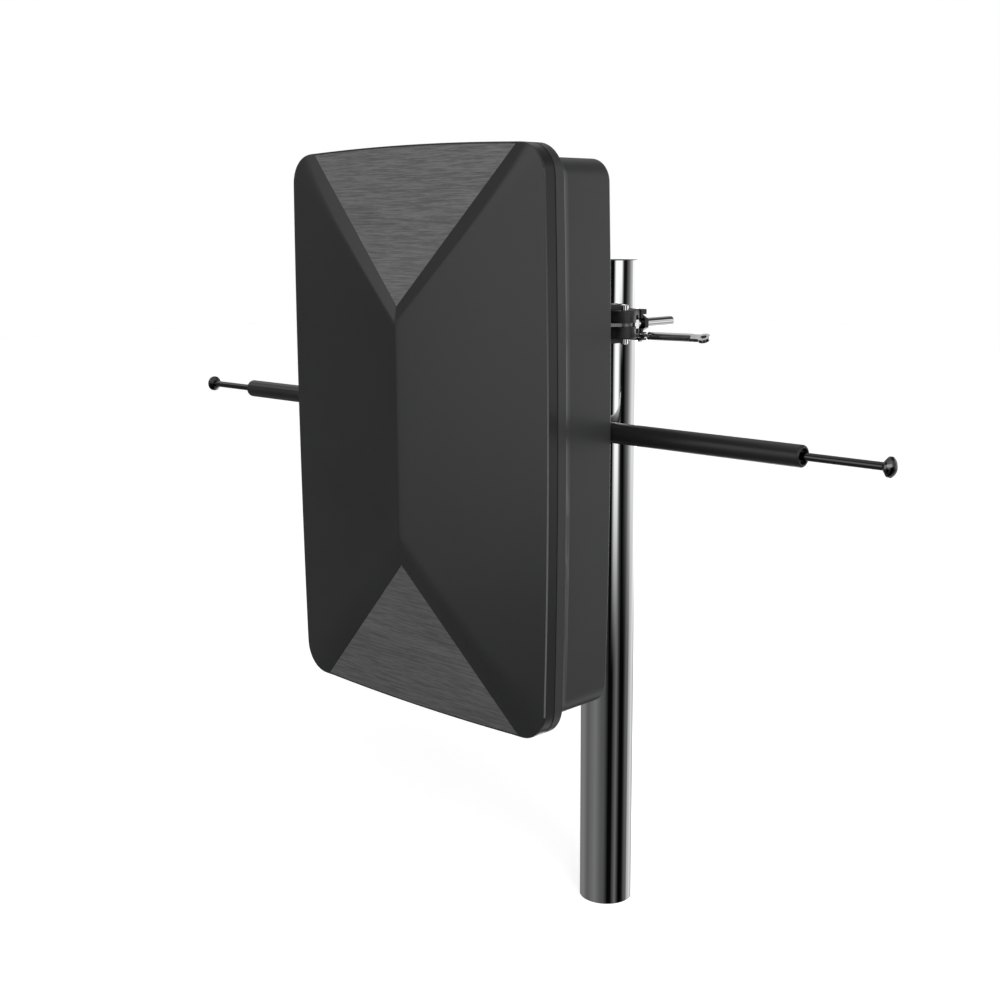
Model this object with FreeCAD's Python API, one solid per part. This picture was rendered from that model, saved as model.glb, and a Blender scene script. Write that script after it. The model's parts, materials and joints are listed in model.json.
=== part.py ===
"""Flat panel tv antenna with telescopic rods, clamped on a mast.

Millimetres. X is to the viewer's right, Y points to the back, Z is up.
The origin is the centre of the mast's foot.
"""
import FreeCAD, Part
import math
import os

V = FreeCAD.Vector

# Mast
mast_diameter = 42.4
mast_wall = 2.0
mast_length = 512.5

# Panel outline and its place on the mast
panel_width = 278.0
panel_height = 430.0
side_bow = 3.5
end_bow = 3.6
corner_radius = 23.7
panel_centre_height = 381.8
mast_side_offset = 96.5
mast_standoff = 38.0

# Front cover
ridge_height = 16.5
facet_edge_height = 0.4
outer_apex_height = 85.2
inlay_apex_height = 98.5
inlay_apex_proud = 14.1
inlay_corner_x = 108.4
inlay_corner_height = 211.0
inlay_thickness = 1.0
inlay_edge_margin = 1.4
inlay_clearance = 0.15
rim_depth = 9.3
rim_round = 1.0
cover_wall = 2.5

# Seal and rear housing
seal_thickness = 1.0
seal_inset = 0.7
seal_width = 3.0
flange_thickness = 6.7
flange_inset = 8.9
tub_corner_radius = 17.0
housing_depth = 79.0
housing_wall = 2.8
cove_radius = 16.0
rear_round = 2.0

# Screws that close the two shells
corner_screw_gap = 9.5
middle_screw_height = 40.0
closing_screw_radius = 2.0
closing_head_radius = 3.6
closing_head_height = 2.6
closing_screw_length = 16.0
column_radius = 5.2
column_front = 20.0
column_floor = 3.0
cover_boss_radius = 4.5
boss_clearance = 0.4
screw_clearance = 0.1
head_clearance = 0.4
head_round_share = 0.4
boss_floor = 1.0

# Antenna parts inside
reflector_side_margin = 18.1
reflector_end_margin = 28.1
reflector_thickness = 1.2
reflector_front = 52.0
reflector_corner_radius = 6.0
reflector_screw_side_inset = 20.0
reflector_screw_end_inset = 28.0
small_screw_radius = 1.5
small_head_radius = 3.0
small_head_height = 2.2
small_screw_length = 10.0
small_boss_radius = 4.0
board_side_margin = 17.0
board_end_margin = 13.0
board_thickness = 1.6
board_gap = 24.4
board_corner_radius = 4.0
standoff_radius = 3.5
standoff_pin_radius = 1.5
standoff_pin_proud = 1.5
standoff_inset = 15.0
element_thickness = 0.5
element_bays = 4
element_end_margin = 9.0
element_side_margin = 19.0
element_gap = 24.0
element_root_half = 2.0
feed_strip_width = 6.0
feed_spacing = 16.0
feed_pin_radius = 1.0
feed_pin_proud = 0.6
feed_clearance = 2.0

# Amplifier behind the reflector
amplifier_width = 90.0
amplifier_height = 60.0
amplifier_front = 62.0
amplifier_screw_inset = 5.0
amplifier_corner_radius = 2.0
shield_width = 46.0
shield_height = 36.0
shield_depth = 6.0
shield_wall = 0.5
shield_corner_radius = 1.5
shield_side_offset = 18.0

# Coax socket in the bottom wall, and its lead
socket_y = 66.0
socket_thread_radius = 4.75
socket_length = 14.0
socket_bore_radius = 1.2
socket_chamfer = 0.6
socket_relief_depth = 0.5
socket_relief_length = 1.2
socket_shoulder_radius = 6.4
socket_shoulder_height = 4.0
socket_pad_radius = 8.6
socket_pad_proud = 1.0
socket_washer_thickness = 1.0
socket_washer_inset = 0.6
socket_nut_flats = 11.0
socket_nut_thickness = 2.4
lead_radius = 1.6

# Rods across the back
rod_centre_x = -17.0
rod_height = 5.0
rod_gap = 0.8
sleeve_diameter = 15.4
sleeve_wall = 2.0
sleeve_inner_end = 16.0
sleeve_reach = 305.5
sleeve_mouth_round = 1.6
guide_length = 8.0
guide_recess = 4.0
rod_diameter = 5.6
rod_clearance = 0.08
guide_fit = 0.05
rod_showing = 60.0
rod_inside = 100.0
rod_tail_length = 6.0
rod_tail_clearance = 0.3
tip_diameter = 13.8
tip_rim = 2.2
tip_dome = 3.4
tip_neck_radius = 4.2
tip_neck_length = 2.2
tip_chamfer = 0.5
tip_socket_depth = 4.0

# Holder of the two sleeves
rod_base_width = 76.0
rod_base_height = 36.0
rod_base_wall = 2.6
rod_base_round = 3.5
rod_base_back_round = 2.8
rod_base_screw_x = 31.0
rod_base_screw_z = 12.8
rod_base_screw_radius = 1.8
rod_base_head_radius = 3.4
rod_base_head_height = 2.2
rod_base_head_sink = 0.6
rod_base_screw_bite = 8.0
sleeve_fit = 0.05
contact_inset = 8.0
contact_radius = 1.5
contact_proud = 1.5

# Mast clamp
clamp_above_centre = 84.5
jaw_clearance = 0.3
jaw_shell = 3.0
jaw_height = 29.0
strap_height = 11.6
core_proud = 0.6
jaw_edge_round = 1.2
jaw_split = 2.0
split_forward = 4.0
tongue_thickness = 2.4
tongue_clearance = 0.2
bracket_pin_x = 29.0
bracket_pin_y = -19.0
bracket_pin_radius = 2.75
bracket_pin_proud = 4.1
bracket_pin_chamfer = 0.5
bracket_eye_radius = 6.0
tongue_root_inset = 3.0
jaw_boss_radius = 8.0
pin_clearance = 0.05
foot_half_width = 26.0
foot_half_height = 20.0
foot_thickness = 3.0
foot_screw_x = 19.0
foot_screw_z = 13.0
foot_corner_radius = 5.0
foot_screw_radius = 2.5
foot_head_radius = 4.6
foot_head_height = 2.8
backing_thickness = 3.0
backing_inset = 2.0
foot_screw_proud = 1.0
bolt_diameter = 7.0
bolt_mast_gap = 3.6
bolt_hole_clearance = 0.3
bolt_head_flats = 11.0
bolt_head_height = 4.5
bolt_free_end = 38.5
bolt_end_round = 1.6
nut_height = 4.0
front_ear_thickness = 3.0
rear_ear_thickness = 2.5
ear_outside = 3.5
ear_height = 20.8
hex_pocket_clearance = 0.3
head_pocket_clearance = 0.4
lever_pin_radius = 1.75
lever_pin_proud = 1.2
lever_height = -9.3
lever_thickness = 2.6
lever_slot_clearance = 0.3
lever_swing_clearance = 0.4
lever_bridge = 1.6
lever_root_radius = 3.4
lever_rod_radius = 3.1
lever_rod_start = 7.0
lever_rod_round = 1.0
lever_length = 57.9
lever_tip_radius = 4.7
lever_eye_radius = 2.3
lever_tip_tilt = 28.0
lever_rest_turn = 9.0

# Derived places, panel frame: middle of the rim's front plane
half_width = panel_width / 2
facet_slope = (ridge_height - facet_edge_height) / half_width
flange_front = rim_depth + seal_thickness
flange_rear = flange_front + flange_thickness
tub_width = panel_width - 2 * flange_inset
tub_height = panel_height - 2 * flange_inset
rear_inside = housing_depth - housing_wall
column_seat = column_front + column_floor
column_to_wall = cover_boss_radius + boss_clearance
end_column_z = tub_height / 2 - housing_wall - column_to_wall
corner_column_z = tub_height / 2 - end_bow - tub_corner_radius - corner_screw_gap
reflector_width = tub_width - 2 * reflector_side_margin
reflector_height = tub_height - 2 * reflector_end_margin
reflector_screw_x = reflector_width / 2 - reflector_screw_side_inset
reflector_screw_z = reflector_height / 2 - reflector_screw_end_inset
board_width = reflector_width - 2 * board_side_margin
board_height = reflector_height - 2 * board_end_margin
standoff_x = board_width / 2 - standoff_inset
standoff_z = board_height / 2 - standoff_inset
element_pitch = (board_height - 2 * element_end_margin) / element_bays
element_reach = board_width / 2 - element_side_margin
element_spread = element_pitch - element_gap
reflector_rear = reflector_front + reflector_thickness
board_rear = reflector_front - board_gap
board_front = board_rear - board_thickness
element_front = board_front - element_thickness
amplifier_rear = amplifier_front + board_thickness
socket_outside = -tub_height / 2 - socket_pad_proud
socket_inside = -tub_height / 2 + housing_wall + socket_pad_proud
rod_y = housing_depth + rod_gap + sleeve_diameter / 2
sleeve_radius = sleeve_diameter / 2
sleeve_bore = sleeve_radius - sleeve_wall
rod_base_rear = rod_y + sleeve_radius + sleeve_fit + rod_base_wall
rod_base_seat = rod_base_rear - rod_base_head_height - rod_base_head_sink
rod_radius = rod_diameter / 2

# Derived places, clamp frame: mast axis at the clamp's middle height
CORNER_PER_FLATS = 1 / math.sqrt(3)
mast_radius = mast_diameter / 2
jaw_bore = mast_radius + jaw_clearance
jaw_radius = jaw_bore + jaw_shell
jaw_half = jaw_height / 2
ear_half = ear_height / 2
front_split = -split_forward - jaw_split / 2
rear_split = -split_forward + jaw_split / 2
tongue_half = tongue_thickness / 2
lobe_inner = tongue_half + tongue_clearance
bolt_radius = bolt_diameter / 2
bolt_x = mast_radius + bolt_mast_gap + bolt_radius
ear_x = bolt_x + ear_outside
front_ear_face = front_split - front_ear_thickness
rear_ear_face = rear_split + rear_ear_thickness
nut_rear = rear_ear_face + nut_height
pocket_half = bolt_head_flats * CORNER_PER_FLATS + hex_pocket_clearance
pocket_left = bolt_x - bolt_head_flats / 2 - hex_pocket_clearance
bolt_slot_half = bolt_radius + bolt_hole_clearance
lever_pin_y = (rear_split + nut_rear) / 2
lever_low = lever_height - lever_thickness / 2 - lever_slot_clearance
ear_bottom = lever_low - lever_bridge

PANEL = V(-mast_side_offset, -housing_depth - mast_standoff, panel_centre_height)
CLAMP = V(0, 0, panel_centre_height + clamp_above_centre)
LARGE = 4 * panel_height
OVERRUN = 1.0
TINY = 0.01

NODES = {}


def keep(name, shape, place):
    """Store one named piece, moved from its own frame to its place."""
    moved = shape.copy()
    moved.translate(place)
    NODES[name] = moved


def on_panel(name, shape):
    keep(name, shape, PANEL)


def on_clamp(name, shape):
    keep(name, shape, CLAMP)


def box(x0, x1, y0, y1, z0, z1):
    return Part.makeBox(x1 - x0, y1 - y0, z1 - z0, V(x0, y0, z0))


def rod_along(axis, radius, start, length):
    return Part.makeCylinder(radius, length, start, axis)


def along_y(radius, x, z, y0, y1):
    return rod_along(V(0, 1, 0), radius, V(x, y0, z), y1 - y0)


def along_z(radius, x, y, z0, z1):
    return rod_along(V(0, 0, 1), radius, V(x, y, z0), z1 - z0)


def prism(points, direction):
    """Extrude a closed polygon."""
    return Part.Face(Part.makePolygon(points + [points[0]])).extrude(direction)


def hexagon(flats, y0, y1, x=0.0, z=0.0):
    """Hexagonal prism along Y, with flats facing left and right."""
    corner = flats * CORNER_PER_FLATS
    angles = [math.radians(90 + 60 * i) for i in range(6)]
    points = [V(x + corner * math.cos(a), y0, z + corner * math.sin(a)) for a in angles]
    return prism(points, V(0, y1 - y0, 0))


def fuse(shapes):
    """One solid from several that meet."""
    return shapes[0].multiFuse(shapes[1:]).removeSplitter()


def screw(radius, head_radius, head_height, length):
    """Pan-head screw along +Y with the head's underside at the origin."""
    head = along_y(head_radius, 0, 0, -head_height, 0)
    rim = [edge for edge in head.Edges if edge.BoundBox.YMax < -head_height / 2]
    head = head.makeFillet(head_height * head_round_share, rim)
    return fuse([head, along_y(radius, 0, 0, 0, length)])


def placed(shape, x, y, z, turn_about_z=0.0):
    copy = shape.copy()
    copy.rotate(V(0, 0, 0), V(0, 0, 1), turn_about_z)
    copy.translate(V(x, y, z))
    return copy


def drilled(plate, places, radius, y0, y1):
    """Cut round holes along Y through a plate that lies between two depths."""
    for x, z in places:
        plate = plate.cut(along_y(radius, x, z, y0 - OVERRUN, y1 + OVERRUN))
    return plate


def bowed_slab(width, height, radius, y0, y1):
    """Rectangle with outward-bowed sides and round corners, between two depths."""
    corner_x = width / 2 - side_bow
    corner_z = height / 2 - end_bow
    corners = [V(corner_x, y0, -corner_z), V(corner_x, y0, corner_z),
               V(-corner_x, y0, corner_z), V(-corner_x, y0, -corner_z)]
    middles = [V(width / 2, y0, 0), V(0, y0, height / 2), V(-width / 2, y0, 0), V(0, y0, -height / 2)]
    arcs = [Part.Arc(corners[i], middles[i], corners[(i + 1) % 4]).toShape() for i in range(4)]
    slab = Part.Face(Part.Wire(arcs)).extrude(V(0, y1 - y0, 0))
    upright = [edge for edge in slab.Edges if edge.BoundBox.XLength + edge.BoundBox.ZLength < TINY]
    return slab.makeFillet(radius, upright)


def half_space(point, normal):
    """Large block on the side of a plane that its normal points to."""
    block = Part.makeBox(LARGE, LARGE, LARGE, V(-LARGE / 2, -LARGE / 2, 0))
    block.Placement = FreeCAD.Placement(point, FreeCAD.Rotation(V(0, 0, 1), normal))
    return block


def facing_front(normal):
    return normal if normal.y < 0 else -normal


def plane_through(a, b, c, depth):
    """Block in front of the plane through three points, moved back by a depth."""
    normal = facing_front((b - a).cross(c - a))
    return half_space(a + V(0, depth, 0), normal)


def recess(sign, depth):
    """The space in front of one end's bevels and triangle; sign is 1 at the top, -1 at the bottom."""
    ridge_end = V(0, -ridge_height, sign * outer_apex_height)
    apex = V(0, -inlay_apex_proud, sign * inlay_apex_height)
    right = V(inlay_corner_x, 0, sign * inlay_corner_height)
    left = V(-inlay_corner_x, 0, sign * inlay_corner_height)
    space = plane_through(apex, right, left, depth)
    space = space.common(plane_through(ridge_end, apex, right, depth))
    return space.common(plane_through(ridge_end, apex, left, depth))


def roof(depth):
    """Solid under the two big facets, moved back by a depth."""
    reach = panel_width
    edge_y = -ridge_height + facet_slope * reach
    points = [V(0, -ridge_height + depth, -panel_height), V(reach, edge_y + depth, -panel_height),
              V(reach, housing_depth, -panel_height), V(-reach, housing_depth, -panel_height),
              V(-reach, edge_y + depth, -panel_height)]
    return prism(points, V(0, 0, 2 * panel_height))


def faceted(slab, depth, floor):
    """Cut a slab to the facets and to both recesses."""
    shape = slab.common(roof(depth))
    for sign in (1, -1):
        shape = shape.cut(recess(sign, depth + floor))
    return shape


def front_rim_edges(shape):
    """Edges where the front surfaces meet the rim's side."""
    side = bowed_slab(panel_width, panel_height, corner_radius, -2 * ridge_height, 2 * rim_depth)
    walls = Part.Compound([face for face in side.Faces if face.BoundBox.YLength > TINY])
    edges = []
    for edge in shape.Edges:
        middle = edge.valueAt((edge.FirstParameter + edge.LastParameter) / 2)
        along_side = edge.BoundBox.XLength + edge.BoundBox.ZLength > TINY
        in_front = middle.y < rim_depth - TINY
        if along_side and in_front and walls.distToShape(Part.Vertex(middle))[0] < TINY:
            edges.append(edge)
    return edges


def inlay_plate(sign, grow):
    """Triangular plate that lies on one end's slope, with the cover's own curve along its wide edge."""
    rise = (inlay_corner_height - inlay_apex_height) / inlay_corner_x
    apex_z = inlay_apex_height - grow * math.hypot(1, rise)
    far_z = panel_height
    far_x = (far_z - apex_z) / rise
    front = -2 * ridge_height
    points = [V(0, front, sign * apex_z), V(far_x, front, sign * far_z), V(-far_x, front, sign * far_z)]
    plate = prism(points, V(0, 4 * ridge_height, 0))
    margin = inlay_edge_margin - grow
    plate = plate.common(bowed_slab(panel_width - 2 * margin, panel_height - 2 * margin,
                                    corner_radius - margin, front, -front))
    apex = V(0, -inlay_apex_proud, sign * inlay_apex_height)
    right = V(inlay_corner_x, 0, sign * inlay_corner_height)
    left = V(-inlay_corner_x, 0, sign * inlay_corner_height)
    plate = plate.cut(plane_through(apex, right, left, 0.0))
    return plate.common(plane_through(apex, right, left, inlay_thickness))


def closing_screw_places():
    """Where the shells are screwed together, as x and z."""
    places = [(0.0, end_column_z), (0.0, -end_column_z)]
    for z in (corner_column_z, middle_screw_height):
        wall_x = tub_width / 2 - housing_wall - side_bow * (2 * z / tub_height) ** 2
        places += [(sx * (wall_x - column_to_wall), sz * z) for sx in (1, -1) for sz in (1, -1)]
    return places


def front_cover():
    slab = bowed_slab(panel_width, panel_height, corner_radius, -2 * ridge_height, rim_depth)
    solid = slab.common(roof(0.0))
    solid = solid.makeFillet(rim_round, front_rim_edges(solid))
    for sign in (1, -1):
        solid = solid.cut(recess(sign, 0.0))
    inset = cover_wall + seal_inset
    inner = bowed_slab(panel_width - 2 * inset, panel_height - 2 * inset, corner_radius - inset,
                       -2 * ridge_height, rim_depth + OVERRUN)
    shell = solid.cut(faceted(inner, cover_wall, inlay_thickness))
    for sign in (1, -1):
        shell = shell.cut(inlay_plate(sign, inlay_clearance).cut(recess(sign, 0.0)))
    places = closing_screw_places()
    bosses = [along_y(cover_boss_radius, x, z, -ridge_height, column_front) for x, z in places]
    block = bowed_slab(panel_width, panel_height, corner_radius, -2 * ridge_height, column_front)
    under_roof = faceted(block, cover_wall / 2, inlay_thickness)
    shell = fuse([shell] + [boss.common(under_roof) for boss in bosses])
    pilot_front = column_seat - closing_screw_length
    return drilled(shell, places, closing_screw_radius + screw_clearance / 2, pilot_front, column_front)


def cover_seal():
    inset = seal_inset
    outer = bowed_slab(panel_width - 2 * inset, panel_height - 2 * inset, corner_radius - inset,
                       rim_depth, flange_front)
    inset = seal_inset + seal_width
    inner = bowed_slab(panel_width - 2 * inset, panel_height - 2 * inset, corner_radius - inset,
                       rim_depth - OVERRUN, flange_front + OVERRUN)
    return outer.cut(inner)


def edges_at_depth(shape, depth):
    """Edges that lie flat at one depth."""
    return [edge for edge in shape.Edges
            if abs(edge.BoundBox.YMin - depth) < TINY and edge.BoundBox.YLength < TINY]


def housing_shell():
    """Tub that flares through a wide cove into its flange, rounded at the back and hollowed."""
    spread = cove_radius + OVERRUN
    wide = bowed_slab(tub_width + 2 * spread, tub_height + 2 * spread, tub_corner_radius + spread,
                      flange_front, flange_rear)
    tub = bowed_slab(tub_width, tub_height, tub_corner_radius, flange_front, housing_depth)
    tub = tub.makeFillet(rear_round, edges_at_depth(tub, housing_depth))
    solid = wide.fuse(tub).removeSplitter()
    starts = [(edge, edge.valueAt(edge.FirstParameter)) for edge in edges_at_depth(solid, flange_rear)]
    cove = [edge for edge, start in starts
            if abs(start.x) < tub_width / 2 + TINY and abs(start.z) < tub_height / 2 + TINY]
    solid = solid.makeFillet(cove_radius, cove)
    solid = solid.common(bowed_slab(panel_width, panel_height, corner_radius, flange_front, housing_depth))
    hollow = bowed_slab(tub_width - 2 * housing_wall, tub_height - 2 * housing_wall,
                        tub_corner_radius - housing_wall, flange_front - OVERRUN, rear_inside)
    return solid.cut(hollow)


def rod_base_screw_places():
    return [(rod_centre_x + sx * rod_base_screw_x, rod_height + sz * rod_base_screw_z)
            for sx in (1, -1) for sz in (1, -1)]


def amplifier_screw_places():
    dx = amplifier_width / 2 - amplifier_screw_inset
    dz = amplifier_height / 2 - amplifier_screw_inset
    return [(rod_centre_x + sx * dx, rod_height + sz * dz) for sx in (1, -1) for sz in (1, -1)]


def reflector_screw_places():
    return [(sx * reflector_screw_x, sz * reflector_screw_z) for sx in (1, -1) for sz in (1, -1)]


def foot_screw_places():
    return [(mast_side_offset + sx * foot_screw_x, clamp_above_centre + sz * foot_screw_z)
            for sx in (1, -1) for sz in (1, -1)]


def contact_places():
    reach = sleeve_inner_end + contact_inset
    return [(rod_centre_x + side * reach, rod_height) for side in (1, -1)]


def rear_housing():
    """Tub with every column, boss and pad that the inner pieces stand on."""
    inset = housing_wall / 2
    within = bowed_slab(tub_width - 2 * inset, tub_height - 2 * inset, tub_corner_radius - inset,
                        flange_front, housing_depth - inset)
    columns = [along_y(column_radius, x, z, column_front, housing_depth) for x, z in closing_screw_places()]
    bosses = [column.common(within) for column in columns]
    rear = rear_inside + inset
    base_boss_front = housing_depth - rod_base_screw_bite - boss_floor
    for places, front in ((reflector_screw_places(), reflector_rear),
                          (amplifier_screw_places(), amplifier_rear),
                          (rod_base_screw_places(), base_boss_front)):
        bosses += [along_y(small_boss_radius, x, z, front, rear) for x, z in places]
    bosses.append(along_z(socket_pad_radius, rod_centre_x, socket_y, socket_outside, socket_inside))
    shell = fuse([housing_shell()] + bosses)
    seats = closing_screw_places()
    shell = drilled(shell, seats, closing_screw_radius + screw_clearance, column_front, column_seat)
    for x, z in seats:
        head_well = along_y(closing_head_radius + head_clearance, x, z, column_seat, housing_depth + OVERRUN)
        shell = shell.cut(head_well)
    pilot = small_screw_radius + screw_clearance / 2
    shell = drilled(shell, reflector_screw_places(), pilot, reflector_rear,
                    reflector_front + small_screw_length)
    shell = drilled(shell, amplifier_screw_places(), pilot, amplifier_rear,
                    amplifier_front + small_screw_length)
    for x, z in rod_base_screw_places():
        shell = shell.cut(along_y(rod_base_screw_radius + screw_clearance / 2, x, z,
                                  base_boss_front + boss_floor / 2, housing_depth + OVERRUN))
    shell = drilled(shell, foot_screw_places(), foot_screw_radius + screw_clearance,
                    rear_inside, housing_depth)
    shell = drilled(shell, contact_places(), contact_radius + screw_clearance, rear_inside, housing_depth)
    return shell.cut(along_z(socket_thread_radius + screw_clearance, rod_centre_x, socket_y,
                             socket_outside - OVERRUN, socket_inside + OVERRUN))


def cover_screws():
    one = screw(closing_screw_radius, closing_head_radius, closing_head_height, closing_screw_length)
    return Part.Compound([placed(one, x, column_seat, z, 180) for x, z in closing_screw_places()])


def sheet(width, height, radius, y0, y1, x=0.0, z=0.0):
    """Flat plate with round corners, facing front."""
    plate = box(x - width / 2, x + width / 2, y0, y1, z - height / 2, z + height / 2)
    corners = [edge for edge in plate.Edges if edge.BoundBox.XLength + edge.BoundBox.ZLength < TINY]
    return plate.makeFillet(radius, corners)


def standoff_places():
    return [(sx * standoff_x, z) for sx in (1, -1) for z in (-standoff_z, 0.0, standoff_z)]


def feed_places():
    return [(side * feed_spacing / 2, rod_height) for side in (1, -1)]


def reflector_plate():
    front = reflector_front
    plate = sheet(reflector_width, reflector_height, reflector_corner_radius, front, reflector_rear)
    for places, radius in ((reflector_screw_places(), small_screw_radius + screw_clearance),
                           (standoff_places(), standoff_pin_radius + screw_clearance),
                           (feed_places(), feed_pin_radius + feed_clearance)):
        plate = drilled(plate, places, radius, front, reflector_rear)
    return plate


def element_board():
    plate = sheet(board_width, board_height, board_corner_radius, board_front, board_rear)
    plate = drilled(plate, standoff_places(), standoff_pin_radius + screw_clearance, board_front, board_rear)
    return drilled(plate, feed_places(), feed_pin_radius + screw_clearance, board_front, board_rear)


def board_standoffs():
    posts = []
    for x, z in standoff_places():
        post = along_y(standoff_radius, x, z, board_rear, reflector_front)
        pin = along_y(standoff_pin_radius, x, z, board_front - standoff_pin_proud,
                      reflector_rear + standoff_pin_proud)
        posts.append(fuse([post, pin]))
    return Part.Compound(posts)


def radiating_elements():
    """Two combs of flat triangles, one on each side of the feed line."""
    combs = []
    depth = V(0, element_thickness, 0)
    top = (element_bays - 1) / 2 * element_pitch
    strip_end = top + feed_strip_width
    for side in (1, -1):
        inner = side * (feed_spacing - feed_strip_width) / 2
        outer = side * (feed_spacing + feed_strip_width) / 2
        left, right = sorted((inner, outer))
        pieces = [box(left, right, element_front, board_front, -strip_end, strip_end)]
        root = (inner + outer) / 2
        tip = side * element_reach
        half = element_spread / 2
        for bay in range(element_bays):
            z = bay * element_pitch - top
            points = [V(root, element_front, z - element_root_half), V(tip, element_front, z - half),
                      V(tip, element_front, z + half), V(root, element_front, z + element_root_half)]
            pieces.append(prism(points, depth))
        combs.append(drilled(fuse(pieces), [(root, rod_height)], feed_pin_radius + pin_clearance,
                             element_front, board_front))
    return Part.Compound(combs)


def feed_pins():
    return Part.Compound([along_y(feed_pin_radius, x, z, element_front - feed_pin_proud, amplifier_front)
                          for x, z in feed_places()])


def amplifier_board():
    plate = sheet(amplifier_width, amplifier_height, amplifier_corner_radius,
                  amplifier_front, amplifier_rear, rod_centre_x, rod_height)
    return drilled(plate, amplifier_screw_places(), small_screw_radius + screw_clearance,
                   amplifier_front, amplifier_rear)


def amplifier_shield():
    x = rod_centre_x - shield_side_offset
    front = amplifier_front - shield_depth
    can = sheet(shield_width, shield_height, shield_corner_radius, front, amplifier_front, x, rod_height)
    hollow = sheet(shield_width - 2 * shield_wall, shield_height - 2 * shield_wall,
                   shield_corner_radius - shield_wall, front + shield_wall, amplifier_front + OVERRUN,
                   x, rod_height)
    return can.cut(hollow)


def small_screws(places, seat):
    one = screw(small_screw_radius, small_head_radius, small_head_height, small_screw_length)
    return Part.Compound([placed(one, x, seat, z) for x, z in places])


def f_connector():
    """Threaded coax socket with a round shoulder inside the wall."""
    end = socket_outside - socket_length
    barrel = along_z(socket_thread_radius, rod_centre_x, socket_y, end, socket_inside)
    mouth = [edge for edge in barrel.Edges if edge.BoundBox.ZMax < end + TINY]
    barrel = barrel.makeChamfer(socket_chamfer, mouth)
    shoulder = along_z(socket_shoulder_radius, rod_centre_x, socket_y, socket_inside,
                       socket_inside + socket_shoulder_height)
    bore = along_z(socket_bore_radius, rod_centre_x, socket_y, end - OVERRUN, socket_outside)
    relief_top = socket_outside - socket_washer_thickness - socket_nut_thickness
    relief_bottom = relief_top - socket_relief_length
    relief = along_z(socket_shoulder_radius, rod_centre_x, socket_y, relief_bottom, relief_top)
    relief = relief.cut(along_z(socket_thread_radius - socket_relief_depth, rod_centre_x, socket_y,
                                relief_bottom, relief_top))
    return fuse([barrel, shoulder]).cut(bore).cut(relief)


def f_connector_washer():
    bottom = socket_outside - socket_washer_thickness
    ring = along_z(socket_pad_radius - socket_washer_inset, rod_centre_x, socket_y, bottom, socket_outside)
    return ring.cut(along_z(socket_thread_radius + screw_clearance, rod_centre_x, socket_y,
                            bottom - OVERRUN, socket_outside + OVERRUN))


def f_connector_nut():
    top = socket_outside - socket_washer_thickness
    nut = hexagon(socket_nut_flats, 0, socket_nut_thickness)
    nut.rotate(V(0, 0, 0), V(1, 0, 0), -90)
    nut.translate(V(rod_centre_x, socket_y, top))
    return nut.cut(along_z(socket_thread_radius + pin_clearance, rod_centre_x, socket_y,
                           top - socket_nut_thickness - OVERRUN, top + OVERRUN))


def output_lead():
    """Straight coax lead from the socket up to the amplifier board."""
    y = amplifier_rear + lead_radius + pin_clearance
    return along_z(lead_radius, rod_centre_x, y, socket_inside + socket_shoulder_height,
                   rod_height - amplifier_height / 4)


def rod_base():
    body = sheet(rod_base_width, rod_base_height, rod_base_round, housing_depth, rod_base_rear,
                 rod_centre_x, rod_height)
    back = [edge for edge in body.Edges if abs(edge.BoundBox.YMin - rod_base_rear) < TINY]
    body = body.makeFillet(rod_base_back_round, back)
    for side in (1, -1):
        start = V(rod_centre_x + side * sleeve_inner_end, rod_y, rod_height)
        body = body.cut(rod_along(V(side, 0, 0), sleeve_radius + sleeve_fit, start, rod_base_width))
    for x, z in contact_places():
        body = body.cut(along_y(contact_radius + screw_clearance, x, z, housing_depth - OVERRUN, rod_y))
    places = rod_base_screw_places()
    body = drilled(body, places, rod_base_screw_radius + screw_clearance, housing_depth, rod_base_rear)
    for x, z in places:
        body = body.cut(along_y(rod_base_head_radius + head_clearance / 2, x, z, rod_base_seat,
                                rod_base_rear + OVERRUN))
    return body


def rod_base_screws():
    length = rod_base_seat - housing_depth + rod_base_screw_bite
    one = screw(rod_base_screw_radius, rod_base_head_radius, rod_base_head_height, length)
    return Part.Compound([placed(one, x, rod_base_seat, z, 180) for x, z in rod_base_screw_places()])


def rod_feed_pins():
    end = rod_y - sleeve_radius + contact_proud
    return Part.Compound([along_y(contact_radius, x, z, amplifier_rear, end) for x, z in contact_places()])


def on_side(shape, side):
    """Mirror a right-hand piece for the left, and put it on the rods' axis."""
    piece = shape if side > 0 else shape.mirror(V(0, 0, 0), V(1, 0, 0))
    piece = piece.copy()
    piece.translate(V(rod_centre_x, rod_y, rod_height))
    return piece


def rod_sleeve():
    """Outer tube along X with a round mouth, and a hole for its contact."""
    length = sleeve_reach - sleeve_inner_end
    tube = rod_along(V(1, 0, 0), sleeve_radius, V(sleeve_inner_end, 0, 0), length)
    mouth = [edge for edge in tube.Edges if edge.BoundBox.XMin > sleeve_reach - TINY]
    tube = tube.makeFillet(sleeve_mouth_round, mouth)
    start = V(sleeve_inner_end - OVERRUN, 0, 0)
    tube = tube.cut(rod_along(V(1, 0, 0), sleeve_bore, start, length + 2 * OVERRUN))
    x = sleeve_inner_end + contact_inset
    return tube.cut(along_y(contact_radius + screw_clearance, x, 0, -sleeve_diameter, 0))


def rod_guide():
    start = sleeve_reach - guide_recess - guide_length
    bush = rod_along(V(1, 0, 0), sleeve_bore - guide_fit, V(start, 0, 0), guide_length)
    return bush.cut(rod_along(V(1, 0, 0), rod_radius + rod_clearance, V(start - OVERRUN, 0, 0),
                              guide_length + 2 * OVERRUN))


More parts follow.
